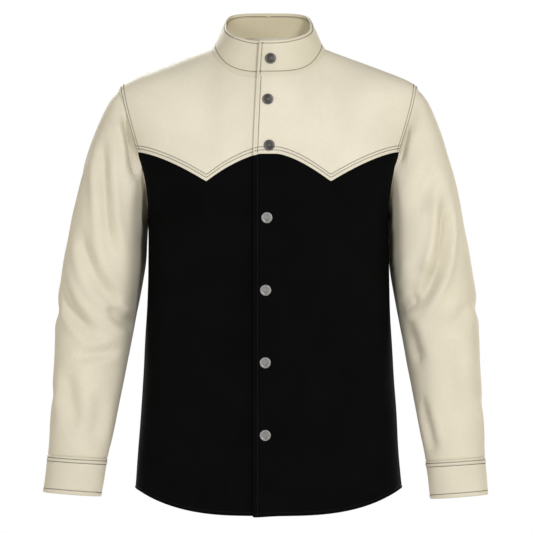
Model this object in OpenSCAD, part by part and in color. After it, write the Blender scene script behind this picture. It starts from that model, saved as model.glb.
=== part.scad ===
// Welding jacket: leather yoke, sleeves and collar over a black split-leather body,
// closed by seven press snaps. Millimetres. +Z up, the wearer faces -Y, and the
// wearer's left is +X. The origin is the middle of the neck opening, level with the
// side of the neck seam.

/* [Body] */
// Half width at the chest
chest_half_w = 186; // [175:1:195]
// Half width at the hem
hem_half_w = 205; // [198:1:215]
// Depth of the front below the neck
front_depth = 112; // [104:1:118]
// Depth of the front at the hem
front_hem_depth = 124; // [116:1:130]
// Depth of the back
back_depth = 138; // [125:1:145]
// How far the middle of the hem hangs below its side corners
hem_drop = 40; // [32:1:48]

/* [Leather] */
// Thickness of the outer leather
leather_t = 1.6; // [1.2:0.1:2]
// Thickness of facings and linings
lining_t = 1.2; // [0.8:0.1:1.4]

/* [Closure] */
// How far the left front laps past the middle
overlap = 23; // [20:1:26]
// How far the left collar end laps past the middle
collar_overlap = 17; // [15:1:19]
// How far the right front runs on under it
underlap = 14; // [12:1:15]
// Radius of a snap cap
cap_r = 8.5; // [7:0.5:9]

/* [Hidden] */
$fn = 32;

CREAM = "#dcd5c0";
BLACK = "#151515";
GUNMETAL = "#6f6c69";

// Heights, all measured from the side of the neck seam.
corner_z = -681.5;      // side corner of the hem
hem_mid_z = corner_z - hem_drop;
flare_z = -350;         // the body starts to widen below this
armpit_z = -262;
shoulder_low_z = -260;  // the body starts to curve over the shoulders above this
yoke_mid_z = -164.5;    // lower edge of the front yoke at the middle
yoke_point_z = -207;    // tip of each western point
yoke_arm_z = -161.5;    // lower edge of the yokes at the armhole
back_point_z = -218;    // tip of the back yoke

// Plan positions, measured from the middle.
neck_half_w = 86;
neck_half_d = 79;
neck_y = -10;
rim_half_w = 67;
rim_half_d = 68;
rim_front_z = 9;
rim_back_z = 54;
rim_square = 4.2;         // exponent of the rim's outline behind the neck
collar_fall = 1.5;      // the neck hole clears the collar by this
tip_x = 230;            // shoulder tip
shoulder_rise = 6.4;    // how far the shoulder bows up between the neck and its tip
soft_x = 95;            // the shoulder is at its softest here
soft_fade = 90;         // and as square as the middle again this much further out
arm_x = 203;            // armhole, level with the lower edge of the yoke
yoke_flat_x = 12;
yoke_point_x = 96;

seam_gap = 0.3;         // half the gap along the shoulder and side seams
yoke_gap = 3;           // gap below the lower edge of a yoke
hinge_gap = 4.8;        // half the gap along the line where a front folds open
layer_gap = 0.1;

// The line about which a front folds open, from the collar to the hem.
fold_top = [42, -94, 0];
fold_low = [80, -130, -720];

// Snaps, from the collar down.
snap_pitch = 111.6;
snap_z = [-18, -81, for (i = [0 : 4]) -152 - i * snap_pitch];
snap_x = [3, -1, 1, -2.5, -4.5, -5, -5];
snap_stack = 6.1;       // outer face of the left front to outer face of the right front

function clamp(v, low, high) = max(low, min(high, v));
function mix(a, b, t) = a + (b - a) * t;
function ease(t) = let (c = clamp(t, 0, 1)) c * c * (3 - 2 * c);

// ---- the body's surface ----

function half_width(z) =
    z > armpit_z ? chest_half_w + 0.3 * (z - armpit_z)
    : mix(chest_half_w, hem_half_w,
          pow(clamp((flare_z - z) / (flare_z - corner_z), 0, 1), 1.3));
function depth(side, z) =
    side > 0 ? back_depth
    : mix(front_depth, front_hem_depth, clamp((-200 - z) / 500, 0, 1));
function ridge_z(x) =
    let (out = clamp((abs(x) - neck_half_w) / (tip_x - neck_half_w), 0, 1))
    abs(x) < neck_half_w ? 15 - 16 * pow(abs(x) / neck_half_w, 2.2)
    : -1 - 0.41 * (abs(x) - neck_half_w) + shoulder_rise * pow(out, 1.6) * (1 - pow(out, 8));
function plan(s) = pow(max(0, 1 - pow(min(1, abs(s)), 2.5)), 0.4);

// How squarely the body turns over at the shoulder: beside the neck, the front falls away
// more evenly than at its middle or at the shoulder's tip.
function over_power(side, x) =
    let (a = abs(x))
    side > 0 ? 3 : 3 - 1.1 * (a < soft_x ? ease(a / soft_x) : 1 - ease((a - soft_x) / soft_fade));
function over(side, x, r) =
    let (e = over_power(side, x))
    pow(max(0, 1 - pow(clamp(r, 0, 1), e)), 1 / e);

// A point of the body: side -1 is the front and 1 the back, turn is the angle round
// the body from its middle, and inset is the depth below the outer face.
function body_point(side, turn, z, inset) =
    let (x = (half_width(z) - inset) * sin(turn),
         r = (z - shoulder_low_z) / (ridge_z(x) - inset - shoulder_low_z))
    [x, side * (seam_gap + (depth(side, z) - inset) * plan(sin(turn)) * over(side, x, r)),
     z];

// A point of a yoke: climb runs from its lower edge, 0, to the shoulder seam, 1.
function yoke_climb_angle(side, x, climb) =
    let (low = asin((yoke_edge_z(side, x) - shoulder_low_z) / (ridge_z(x) - shoulder_low_z)))
    mix(low, 90, climb);
function yoke_point(side, x, climb, inset) =
    let (a = yoke_climb_angle(side, x, climb),
         z = shoulder_low_z + (ridge_z(x) - inset - shoulder_low_z) * sin(a),
         w = half_width(z))
    [x * (w - inset) / w,
     side * (seam_gap + (depth(side, z) - inset) * plan(x / w) * over(side, x, sin(a))), z];

// Lower edges of the yokes and the hem.
function yoke_edge_z(side, x) =
    let (a = abs(x))
    side > 0
    ? mix(back_point_z, yoke_arm_z, 1 - pow(1 - min(1, a / arm_x), 1.5))
    : a < yoke_flat_x ? yoke_mid_z
    : a < yoke_point_x
    ? mix(yoke_mid_z, yoke_point_z,
          pow((a - yoke_flat_x) / (yoke_point_x - yoke_flat_x), 1.5))
    : mix(yoke_point_z, yoke_arm_z,
          1 - pow(1 - min(1, (a - yoke_point_x) / (arm_x - yoke_point_x)), 1.45));
function hem_z(x) = corner_z - hem_drop * (1 - pow(min(1, abs(x) / hem_half_w), 3.2));

// The armhole's x, by climb on the yokes and by height below them.
function yoke_arm_x(climb) = mix(arm_x, tip_x, 1 - pow(1 - climb, 2.5));
function body_arm_x(z) =
    z < armpit_z ? half_width(z)
    : mix(chest_half_w, arm_x, pow((z - armpit_z) / (yoke_arm_z - armpit_z), 2.2));

// The neck seam: turn is measured round the neck from the front.
function neck_climb(turn) =
    let (grow = collar_fall,
         x = (neck_half_w + grow) * sin(turn),
         y = neck_y - (neck_half_d + grow) * cos(turn),
         side = y < 0 ? -1 : 1,
         share = abs(y) / (depth(side, 0) * plan(x / half_width(-10))),
         low = yoke_climb_angle(side, x, 0))
    [x, (asin(over(side, x, share)) - low) / (90 - low)];
neck_side_turn = 90 + asin(-neck_y / (neck_half_d + collar_fall));

// How far the right front is set in, so that it runs on under the left front.
function right_inset(x) = snap_stack * ease((x + overlap + 27) / 24);

// The fold line's x at a height.
function fold_x(z) = mix(fold_top[0], fold_low[0], (z - fold_top[2]) / (fold_low[2] - fold_top[2]));

// ---- solids from grids of points ----

// A sheet from two grids of the same size, outer face first. Wrapped sheets close on
// themselves along their first direction, as a sleeve does.
function grid_faces(nu, nv, base, flip, wrap) = [
    for (i = [0 : nu - (wrap ? 1 : 2)], j = [0 : nv - 2])
        let (a = base + i * nv + j,
             b = base + ((i + 1) % nu) * nv + j)
        each flip ? [[a, b, a + 1], [b, b + 1, a + 1]] : [[a, a + 1, b], [b, a + 1, b + 1]]
];
function rim_faces(outer_rim, inner_rim) = [
    for (k = [0 : len(outer_rim) - 2])
        each [[outer_rim[k], outer_rim[k + 1], inner_rim[k]],
              [inner_rim[k], outer_rim[k + 1], inner_rim[k + 1]]]
];
function rim_of(nu, nv, base) = [
    each [for (j = [0 : nv - 1]) base + j],
    each [for (i = [1 : nu - 1]) base + i * nv + nv - 1],
    each [for (j = [nv - 2 : -1 : 0]) base + (nu - 1) * nv + j],
    each [for (i = [nu - 2 : -1 : 0]) base + i * nv]
];
module sheet_solid(outer, inner, wrap = false, flip = false) {
    nu = len(outer);
    nv = len(outer[0]);
    count = nu * nv;
    points = [each [for (row = outer) each row], each [for (row = inner) each row]];
    ends = wrap
        ? [for (j = [0, nv - 1])
               [for (k = [0 : nu]) let (i = j == 0 ? nu - k : k) (i % nu) * nv + j]]
        : [rim_of(nu, nv, 0)];
    faces = [
        each grid_faces(nu, nv, 0, true, wrap),
        each grid_faces(nu, nv, count, false, wrap),
        each [for (rim = ends) each rim_faces(rim, [for (k = rim) k + count])]
    ];
    polyhedron(points = points, faces = flip ? [for (f = faces) [f[0], f[2], f[1]]] : faces);
}

// Every panel is drawn from a function of two shares, 0 to 1, and an inset.
function shares(n) = [for (i = [0 : n]) i / n];

// ---- the body's panels ----

module mirror_if(on) {
    if (on) mirror([1, 0, 0]) children();
    else children();
}

// One side of a front, from its fold line round to the side seam and the armhole.
function front_side_point(u, v, inset) =
    let (row_z = mix(corner_z, yoke_arm_z - seam_gap, v),
         w = half_width(row_z),
         out_turn = row_z < armpit_z ? 90 : asin(body_arm_x(row_z) / w),
         in_turn = asin((fold_x(row_z) + hinge_gap) / w),
         turn = mix(in_turn, out_turn, u),
         x = w * sin(turn),
         z = mix(hem_z(x), yoke_edge_z(-1, x) - yoke_gap, v))
    body_point(-1, turn, z, inset);
module front_side(is_right) {
    color(BLACK) mirror_if(is_right)
        sheet_solid([for (u = shares(10)) [for (v = shares(14)) front_side_point(u, v, 0)]],
                    [for (u = shares(10)) [for (v = shares(14)) front_side_point(u, v, leather_t)]]);
}

// The part of a front that folds open, with x from its free edge to the fold line.
function front_edge_point(free_x, u, v, inset) =
    let (row_z = mix(hem_mid_z, yoke_mid_z, v),
         x = mix(free_x, fold_x(row_z) - hinge_gap, u),
         z = mix(hem_z(x), yoke_edge_z(-1, x) - yoke_gap, v))
    body_point(-1, asin(x / half_width(z)), z, inset);
module left_front_edge() {
    color(BLACK)
        sheet_solid([for (u = shares(5)) [for (v = shares(14))
                         front_edge_point(-overlap, u, v, 0)]],
                    [for (u = shares(5)) [for (v = shares(14))
                         front_edge_point(-overlap, u, v, leather_t)]]);
}
function right_front_point(u, v, inset) =
    let (p = front_edge_point(-underlap, u, v, inset),
         q = body_point(-1, asin(p[0] / half_width(p[2])), p[2], inset + right_inset(-p[0])))
    q;
module right_front_edge() {
    color(BLACK) mirror([1, 0, 0])
        sheet_solid([for (u = shares(8)) [for (v = shares(14)) right_front_point(u, v, 0)]],
                    [for (u = shares(8)) [for (v = shares(14)) right_front_point(u, v, leather_t)]]);
}

// The rest of a front yoke, from the fold line to the armhole and the shoulder seam.
neck_fold_turn = asin((fold_x(-28) + hinge_gap) / (neck_half_w + collar_fall));
yoke_low_rows = 4;
yoke_neck_rows = 6;
function yoke_side_rows() = let (start = neck_climb(neck_fold_turn)) [
    for (i = [0 : yoke_low_rows])
        let (c = start[1] * i / yoke_low_rows)
        [mix(fold_x(-180) + hinge_gap, start[0], i / yoke_low_rows), c],
    for (i = [1 : yoke_neck_rows])
        neck_climb(mix(neck_fold_turn, neck_side_turn, i / yoke_neck_rows))
];
module yoke_side(is_right) {
    rows = yoke_side_rows();
    color(CREAM) mirror_if(is_right)
        sheet_solid([for (u = shares(8)) [for (r = rows)
                         yoke_point(-1, mix(r[0], yoke_arm_x(r[1]), u), r[1], 0)]],
                    [for (u = shares(8)) [for (r = rows)
                         yoke_point(-1, mix(r[0], yoke_arm_x(r[1]), u), r[1], leather_t)]]);
}

// The part of a front yoke that folds open with its front.
function yoke_flap_point(free_x, u, v, inset) =
    let (x = mix(free_x, mix(fold_x(-180), fold_x(-28), v) - hinge_gap, u),
         c = v * neck_climb(asin(x / (neck_half_w + collar_fall)))[1])
    yoke_point(-1, x, c, inset);
module left_yoke_edge() {
    color(CREAM)
        sheet_solid([for (u = shares(6)) [for (v = shares(6)) yoke_flap_point(-overlap, u, v, 0)]],
                    [for (u = shares(6)) [for (v = shares(6))
                         yoke_flap_point(-overlap, u, v, leather_t)]]);
}
function right_yoke_point(u, v, inset) =
    let (x = yoke_flap_point(-underlap, u, v, 0)[0])
    yoke_flap_point(-underlap, u, v, inset + right_inset(-x));
module right_yoke_edge() {
    color(CREAM) mirror([1, 0, 0])
        sheet_solid([for (u = shares(8)) [for (v = shares(6)) right_yoke_point(u, v, 0)]],
                    [for (u = shares(8)) [for (v = shares(6)) right_yoke_point(u, v, leather_t)]]);
}

// Facings: a strip behind each free edge, from the hem to the neck seam.
facing_w = 52;
facing_yoke_share = 0.78;
function facing_point(free_x, u, v, inset) =
    let (x = mix(free_x + 0.5, free_x + facing_w, u),
         z = mix(hem_z(x) + 1, yoke_edge_z(-1, x), min(1, v / facing_yoke_share)),
         c = max(0, v - facing_yoke_share) / (1 - facing_yoke_share)
             * neck_climb(asin(x / (neck_half_w + collar_fall)))[1] * 0.97)
    v <= facing_yoke_share ? body_point(-1, asin(x / half_width(z)), z, inset)
    : yoke_point(-1, x, c, inset);
module left_facing() {
    start = leather_t + layer_gap;
    color(BLACK)
        sheet_solid([for (u = shares(3)) [for (v = shares(18)) facing_point(-overlap, u, v, start)]],
                    [for (u = shares(3)) [for (v = shares(18))
                         facing_point(-overlap, u, v, start + lining_t)]]);
}
function right_facing_point(u, v, inset) =
    let (x = facing_point(-underlap, u, v, 0)[0])
    facing_point(-underlap, u, v, inset + right_inset(-x));
module right_facing() {
    start = leather_t + 5 * layer_gap;
    color(BLACK) mirror([1, 0, 0])
        sheet_solid([for (u = shares(6)) [for (v = shares(18)) right_facing_point(u, v, start)]],
                    [for (u = shares(6)) [for (v = shares(18))
                         right_facing_point(u, v, start + lining_t)]]);
}

// The back: one body panel and one yoke, each right across.
function back_point(u, v, inset) =
    let (row_z = mix(corner_z, yoke_arm_z - seam_gap, v),
         w = half_width(row_z),
         out_turn = row_z < armpit_z ? 90 : asin(body_arm_x(row_z) / w),
         turn = mix(-out_turn, out_turn, u),
         x = w * sin(turn),
         z = mix(hem_z(x), yoke_edge_z(1, x) - yoke_gap, v))
    body_point(1, turn, z, inset);
module back_body() {
    color(BLACK)
        sheet_solid([for (u = shares(22)) [for (v = shares(12)) back_point(u, v, 0)]],
                    [for (u = shares(22)) [for (v = shares(12)) back_point(u, v, leather_t)]],
                    flip = true);
}
function back_yoke_point(q, v, inset) =
    let (neck_q = (neck_half_w + collar_fall) * sin(neck_side_turn) / tip_x,
         x = q * tip_x,
         top = abs(q) < neck_q - 0.001
             ? neck_climb(180 - asin(x / (neck_half_w + collar_fall)))[1] : 1,
         c = v * top)
    yoke_point(1, q * yoke_arm_x(c), c, inset);
// Columns of the back yoke, closer together beside the neck, where its edge is steep.
back_yoke_columns = let (n = (neck_half_w + collar_fall) * sin(neck_side_turn) / tip_x,
                         half = [for (a = [15 : 15 : 90]) n * sin(a)])
    [each [for (i = [4 : -1 : 1]) -mix(n, 1, i / 4)], each [for (i = [5 : -1 : 0]) -half[i]],
     0, each half, each [for (i = [1 : 4]) mix(n, 1, i / 4)]];
module back_yoke() {
    color(CREAM)
        sheet_solid([for (q = back_yoke_columns) [for (v = shares(8)) back_yoke_point(q, v, 0)]],
                    [for (q = back_yoke_columns) [for (v = shares(8))
                         back_yoke_point(q, v, leather_t)]],
                    flip = true);
}

// ---- the collar ----

// A point of the collar: turn runs round the neck from the front, up from 0 to 1.
function neck_seam_z(turn) =
    let (c = neck_climb(turn), y = neck_y - neck_half_d * cos(turn))
    yoke_point(y < 0 ? -1 : 1, c[0], c[1], 0)[2];
function signed_pow(v, e) = sign(v) * pow(abs(v), e);
function collar_point(turn, up, inset) =
    let (lean = up * (0.75 + 0.25 * up),
         w = mix(neck_half_w, rim_half_w, lean) - inset,
         d = mix(neck_half_d, rim_half_d, lean) - inset,
         e = cos(turn) > 0 ? 1 : 2 / mix(2, rim_square, up),
         back = -signed_pow(cos(turn), e))
    [w * signed_pow(sin(turn), e), neck_y + d * back,
     mix(neck_seam_z(turn) + 0.6, mix(rim_front_z, rim_back_z, (1 + back) / 2), up)];
function end_turn(x) = asin(x / neck_half_w);
collar_fold_turn = end_turn(fold_x(-10));
collar_gap_turn = 2;
module collar_band(from, to, steps, start, thick) {
    sheet_solid([for (i = [0 : steps]) [for (v = shares(4))
                     collar_point(mix(from, to, i / steps), v, start)]],
                [for (i = [0 : steps]) [for (v = shares(4))
                     collar_point(mix(from, to, i / steps), v, start + thick)]]);
}
module collar_back(start, thick) {
    color(CREAM)
        collar_band(collar_fold_turn + collar_gap_turn, 360 - collar_fold_turn - collar_gap_turn,
                    28, start, thick);
}
module left_collar_end(start, thick) {
    color(CREAM)
        collar_band(end_turn(-collar_overlap), collar_fold_turn - collar_gap_turn, 5, start, thick);
}
function right_collar_turn(u) = mix(end_turn(-underlap), collar_fold_turn - collar_gap_turn, u);
module right_collar_end(start, thick) {
    function at(u, v, inset) = let (t = right_collar_turn(u))
        collar_point(t, v, inset + right_inset(-neck_half_w * sin(t)));
    color(CREAM) mirror([1, 0, 0])
        sheet_solid([for (u = shares(8)) [for (v = shares(4)) at(u, v, start)]],
                    [for (u = shares(8)) [for (v = shares(4)) at(u, v, start + thick)]]);
}

// A short leather strap inside the back of the collar, for a hook.
loop_w = 8;
loop_half_l = 34;
loop_rise = 14;
module hanger_loop() {
    wall_y = collar_point(180, 0.35, leather_t + layer_gap + lining_t)[1] - 2.3;
    z = neck_seam_z(180) + 6;
    function bow(t, inset) = [mix(-loop_half_l, loop_half_l, t),
                              wall_y - (loop_rise - inset) * pow(sin(180 * t), 0.8) - (1.5 - inset)
                              - 0.0016 * pow(mix(-loop_half_l, loop_half_l, t), 2)];
    color(CREAM) translate([0, 0, z]) linear_extrude(loop_w)
        polygon([for (t = shares(16)) bow(t, 0), for (t = shares(16)) bow(1 - t, 1.5)]);
}

// ---- the snaps ----

// Puts its children on the outer face of the left front at a snap, with +Z outwards.
module at_snaps() {
    for (i = [0 : len(snap_z) - 1]) {
        z = snap_z[i];
        up = 4;
        p = front_middle(z, i == 0);
        slope = (front_middle(z + up, i == 0)[1] - front_middle(z - up, i == 0)[1]) / (2 * up);
        translate(p + [snap_x[i], 0, 0]) rotate([90 - atan(slope), 0, 0]) children();
    }
}
function front_middle(z, on_collar) =
    let (seam = neck_seam_z(0) + 0.6)
    on_collar ? [0, collar_point(0, (z - seam) / (rim_front_z - seam), 0)[1], z]
    : body_point(-1, 0, z, 0);
cap_h = 2.4;
module snap_caps() {
    color(GUNMETAL) at_snaps() rotate_extrude($fn = 48)
        polygon([[0, -2.9], [1.6, -2.9], [1.6, 0.2], [cap_r - 1, 0.2], [cap_r - 0.2, 0.5],
                 [cap_r, 1.1], [cap_r - 0.3, 1.7], [cap_r - 1.2, cap_h - 0.15],
                 [cap_r - 2.2, cap_h], [cap_r - 3, cap_h - 0.3], [cap_r - 3.8, cap_h - 0.25],
                 [2, cap_h], [0, cap_h + 0.1]]);
}
module snap_sockets() {
    color(GUNMETAL) at_snaps() rotate_extrude($fn = 48)
        polygon([[0, -3.4], [0, -3.0], [6.2, -3.0], [6.5, -3.3], [6.2, -3.8], [5.4, -4.1],
                 [5.2, -4.8], [4.6, -5.1], [3.6, -5.1], [3.6, -3.4]]);
}
module snap_studs() {
    color(GUNMETAL) at_snaps() rotate_extrude($fn = 48)
        polygon([[0, -5.9], [0, -3.9], [2.0, -3.9], [2.4, -4.15], [2.5, -4.5], [2.2, -4.9],
                 [2.2, -5.4], [5.2, -5.5], [5.6, -5.7], [5.6, -5.9]]);
}
module snap_eyelets() {
    color(GUNMETAL) at_snaps() rotate_extrude($fn = 48)
        polygon([[0.9, -10.3], [4.8, -10.3], [5.1, -10], [4.9, -9.65], [1.8, -9.6],
                 [1.8, -5.95], [0.9, -5.95]]);
}

// ---- the sleeves ----

// Rings down the left sleeve: outer x and z, inner x and z, half depth, middle y.
sleeve_rings = [
    [230, -60, 187, -262, 66, 6], [250, -86, 189, -276, 70, 0], [279, -157, 189, -300, 68, -8],
    [300, -242, 190, -334, 64, -16], [317, -330, 198, -381, 60, -21],
    [327.5, -415, 209, -440, 56, -26], [332, -500, 223, -514, 50, -42],
    [337, -590, 239, -598, 44, -58], [339.5, -634, 248, -640, 42, -66],
    [345, -687, 256.5, -694, 40, -72]
];
head_ring = 2;
elbow_ring = 5;
cuff_ring = 8;
function spline(p0, p1, p2, p3, t) =
    0.5 * (2 * p1 + (p2 - p0) * t + (2 * p0 - 5 * p1 + 4 * p2 - p3) * t * t
           + (3 * p1 - p0 - 3 * p2 + p3) * t * t * t);
function ring_at(s) =
    let (n = len(sleeve_rings), i = min(n - 2, floor(s)), t = s - i)
    spline(sleeve_rings[max(0, i - 1)], sleeve_rings[i], sleeve_rings[i + 1],
           sleeve_rings[min(n - 1, i + 2)], t);
// A point of a sleeve: around is 0 on the outside, 90 at the front, 180 inside.
function round_ring(s, around, inset) =
    let (r = ring_at(s),
         half = [(r[0] - r[2]) / 2, (r[1] - r[3]) / 2],
         shrink = 1 - inset / norm(half),
         c = cos(around) * shrink)
    [(r[0] + r[2]) / 2 + half[0] * c, r[5] - (r[4] - inset) * sin(around),
     (r[1] + r[3]) / 2 + half[1] * c];
// The armhole seam, at the same angle round the sleeve.
function armhole_point(around, inset) =
    let (side = around < 180 ? -1 : 1,
         down = around < 180 ? around / 180 : (360 - around) / 180,
         yoke_share = 0.55,
         on_yoke = down < yoke_share,
         climb = 1 - down / yoke_share,
         z = mix(yoke_arm_z, armpit_z, (down - yoke_share) / (1 - yoke_share)),
         p = on_yoke ? yoke_point(side, yoke_arm_x(climb), climb, inset)
             : body_point(side, asin(min(1, body_arm_x(z) / half_width(z))), z, inset))
    p + arm_gap * arm_plane_out;
// The sleeve turns in the plane of its armhole, a little way out from its edge.
arm_gap = 5;
arm_plane_out = [cos(12), 0, -sin(12)];
cap_end = 3;
function sleeve_point(s, around, inset) =
    let (w = ease(s / cap_end), p = round_ring(s, around, inset), a = armhole_point(around, inset),
         top = round_ring(0, around, inset))
    p + (a - top) * (1 - w);
// At the elbow the front is cut back to a notch, so that the lower sleeve can bend.
elbow_y = -48;
notch = tan(31);
function sleeve_end_shift(p, dir) = [p[0], p[1], p[2] + dir * (0.4 + max(0, elbow_y - p[1]) * notch)];
module sleeve_tube(from, to, steps, start, thick, top_cut = false, low_cut = false) {
    function at(i, around, inset) =
        let (p = sleeve_point(mix(from, to, i / steps), around, inset))
        (top_cut && i == 0) ? sleeve_end_shift(p, -1)
        : (low_cut && i == steps) ? sleeve_end_shift(p, 1) : p;
    sheet_solid([for (a = [0 : 15 : 345]) [for (i = [0 : steps]) at(i, a, start)]],
                [for (a = [0 : 15 : 345]) [for (i = [0 : steps]) at(i, a, start + thick)]],
                wrap = true, flip = true);
}
module sleeve_head(is_right) {
    color(CREAM) mirror_if(is_right)
        sleeve_tube(0, head_ring - 0.01, 5, 0, leather_t);
}
module upper_sleeve(is_right) {
    color(CREAM) mirror_if(is_right)
        sleeve_tube(head_ring, elbow_ring, 6, 0, leather_t, low_cut = true);
}
module lower_sleeve(is_right) {
    color(CREAM) mirror_if(is_right)
        sleeve_tube(elbow_ring, cuff_ring - 0.01, 6, 0, leather_t, top_cut = true);
}
module cuff(is_right) {
    color(CREAM) mirror_if(is_right)
        sleeve_tube(cuff_ring, cuff_ring + 1, 2, 0, leather_t);
}
module cuff_facing(is_right) {
    color(CREAM) mirror_if(is_right)
        sleeve_tube(cuff_ring, cuff_ring + 1, 2, leather_t + layer_gap, lining_t);
}

lining_start = leather_t + layer_gap;
back_body();
back_yoke();
hanger_loop();
collar_back(0, leather_t);
collar_back(lining_start, lining_t);  // collar_back_lining
front_side(false);  // left_front_side
yoke_side(false);  // left_yoke_side
front_side(true);  // right_front_side
yoke_side(true);  // right_yoke_side
left_front_edge();
left_yoke_edge();
left_facing();
left_collar_end(0, leather_t);
left_collar_end(lining_start, lining_t);  // left_collar_end_lining
snap_caps();
snap_sockets();
right_front_edge();
right_yoke_edge();
right_facing();
right_collar_end(0, leather_t);
right_collar_end(lining_start, lining_t);  // right_collar_end_lining
snap_studs();
snap_eyelets();
sleeve_head(false);  // left_sleeve_head
upper_sleeve(false);  // left_upper_sleeve
lower_sleeve(false);  // left_lower_sleeve
cuff(false);  // left_cuff
cuff_facing(false);  // left_cuff_facing
sleeve_head(true);  // right_sleeve_head
upper_sleeve(true);  // right_upper_sleeve
lower_sleeve(true);  // right_lower_sleeve
cuff(true);  // right_cuff
cuff_facing(true);  // right_cuff_facing
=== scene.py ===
"""Looks of a leather welding jacket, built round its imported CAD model.

Every panel is a grid of points on the same surfaces as the CAD parts, in millimetres, with
+Z up, the wearer facing -Y and the wearer's left at +X. Right-hand panels are worked out on
the left and mirrored. A panel gets its folds, its seam relief and a thickness with rounded
edges, and then its rows of stitches.
"""

from collections import namedtuple
from functools import partial
from math import radians

import bpy
import numpy as np
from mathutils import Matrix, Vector


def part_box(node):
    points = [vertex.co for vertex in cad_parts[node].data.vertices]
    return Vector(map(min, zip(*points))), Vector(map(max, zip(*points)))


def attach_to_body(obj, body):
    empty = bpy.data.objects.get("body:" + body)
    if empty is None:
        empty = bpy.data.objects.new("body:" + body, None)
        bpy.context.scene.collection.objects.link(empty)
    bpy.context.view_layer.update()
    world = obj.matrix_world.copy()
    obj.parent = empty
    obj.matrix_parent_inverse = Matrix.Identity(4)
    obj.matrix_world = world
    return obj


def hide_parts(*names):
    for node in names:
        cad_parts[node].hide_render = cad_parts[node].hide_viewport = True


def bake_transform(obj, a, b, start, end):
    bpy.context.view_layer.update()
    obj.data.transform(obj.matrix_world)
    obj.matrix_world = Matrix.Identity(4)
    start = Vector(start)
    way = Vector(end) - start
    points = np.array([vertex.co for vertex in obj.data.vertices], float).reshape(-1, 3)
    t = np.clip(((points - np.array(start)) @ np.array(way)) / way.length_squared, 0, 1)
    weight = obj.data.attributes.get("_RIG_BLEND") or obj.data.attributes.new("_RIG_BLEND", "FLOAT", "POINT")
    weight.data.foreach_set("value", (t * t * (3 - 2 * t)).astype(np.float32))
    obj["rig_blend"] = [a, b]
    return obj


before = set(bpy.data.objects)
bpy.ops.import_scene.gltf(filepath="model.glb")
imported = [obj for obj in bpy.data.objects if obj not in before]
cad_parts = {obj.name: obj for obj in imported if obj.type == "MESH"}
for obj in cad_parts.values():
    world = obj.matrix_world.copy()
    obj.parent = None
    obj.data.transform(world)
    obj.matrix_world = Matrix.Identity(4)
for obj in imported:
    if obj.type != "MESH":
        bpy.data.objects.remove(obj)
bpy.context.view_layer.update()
MM = 0.001

# ---- sizes, in millimetres ----


def cad_box(node):
    """A CAD node's lowest and highest corners."""
    low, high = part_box(node)
    return np.array(low) / MM, np.array(high) / MM


BACK_LOW, BACK_HIGH = cad_box("back_body")
EDGE_LOW = cad_box("left_front_edge")[0]
COLLAR_HIGH = cad_box("collar_back")[1]
YOKE_LOW, YOKE_HIGH = cad_box("back_yoke")

HEM_HALF_W = BACK_HIGH[0]
CHEST_HALF_W = 186.0
BACK_DEPTH = BACK_HIGH[1]
FRONT_HEM_DEPTH = -EDGE_LOW[1]
FRONT_DEPTH = FRONT_HEM_DEPTH - 12
HEM_MID_Z = BACK_LOW[2]
HEM_DROP = 40.0
CORNER_Z = HEM_MID_Z + HEM_DROP
FLARE_Z = -350.0
ARMPIT_Z = -262.0
SHOULDER_LOW_Z = -260.0
YOKE_MID_Z = -164.5
YOKE_POINT_Z = -207.0
YOKE_ARM_Z = -161.5
BACK_POINT_Z = YOKE_LOW[2]
YOKE_FLAT_X = 12.0
YOKE_POINT_X = 96.0
ARM_X = 203.0
TIP_X = YOKE_HIGH[0]
SHOULDER_RISE = 6.4
SOFT_X = 95.0
SOFT_FADE = 90.0
NECK_HALF_W = COLLAR_HIGH[0]
NECK_HALF_D = 79.0
NECK_Y = COLLAR_HIGH[1] - NECK_HALF_D
RIM_HALF_W = 67.0
RIM_HALF_D = 68.0
RIM_FRONT_Z = 9.0
RIM_BACK_Z = COLLAR_HIGH[2]
RIM_SQUARE = 4.2
OVERLAP = -EDGE_LOW[0]
COLLAR_OVERLAP = 17.0
UNDERLAP = 14.0
SNAP_STACK = 6.1
FOLD_TOP = (42.0, 0.0)
FOLD_LOW = (80.0, -720.0)
FOLD_SPREAD = 44.0
LEATHER = 1.6
DOUBLED = 3.4
YOKE_STEP = 1.9
ARM_OUT = np.array([np.cos(radians(12)), 0, -np.sin(radians(12))])

# Rings down the left sleeve: outer x and z, inner x and z, half depth, middle y.
SLEEVE_RINGS = np.array([
    [230, -60, 187, -262, 66, 6], [250, -86, 189, -276, 70, 0],
    [279, -157, 189, -300, 68, -8], [300, -242, 190, -334, 64, -16],
    [317, -330, 198, -381, 60, -21], [327.5, -415, 209, -440, 56, -26],
    [332, -500, 223, -514, 50, -42], [337, -590, 239, -598, 44, -58],
    [339.5, -634, 248, -640, 42, -66], [345, -687, 256.5, -694, 40, -72],
], float)
CAP_END = 3.0
# Where each sleeve hangs beside its CAD one: how far out by ring, and how far up its end is.
HANG_RINGS = (1.0, 3.5, 7.2, 9.0)
HANG_OUT = {-1: (0.0, 0.0, 0.5, 2.2), 1: (0.0, -3.8, -3.8, -6.8)}
HANG_UP = {-1: 1.9, 1: -1.9}
SPLIT_RING = 3.8
ARMHOLE_TUCK = 2.5
ARMHOLE_UNDER = 1.3
SEAM_PUFF = 1.5
CUFF_RING = 8.0


def mix(a, b, t):
    return a + (b - a) * t


def ease(t):
    c = np.clip(t, 0, 1)
    return c * c * (3 - 2 * c)


def bump(x):
    return np.exp(-x * x)


def unit(v):
    return v / np.maximum(np.linalg.norm(v, axis=-1, keepdims=True), 1e-9)


def spline(a, b, c, d, t):
    """The Catmull-Rom curve from b, where t is 0, to c, where t is 1."""
    return 0.5 * (2 * b + (c - a) * t + (2 * a - 5 * b + 4 * c - d) * t**2
                  + (3 * b - a - 3 * c + d) * t**3)


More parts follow.
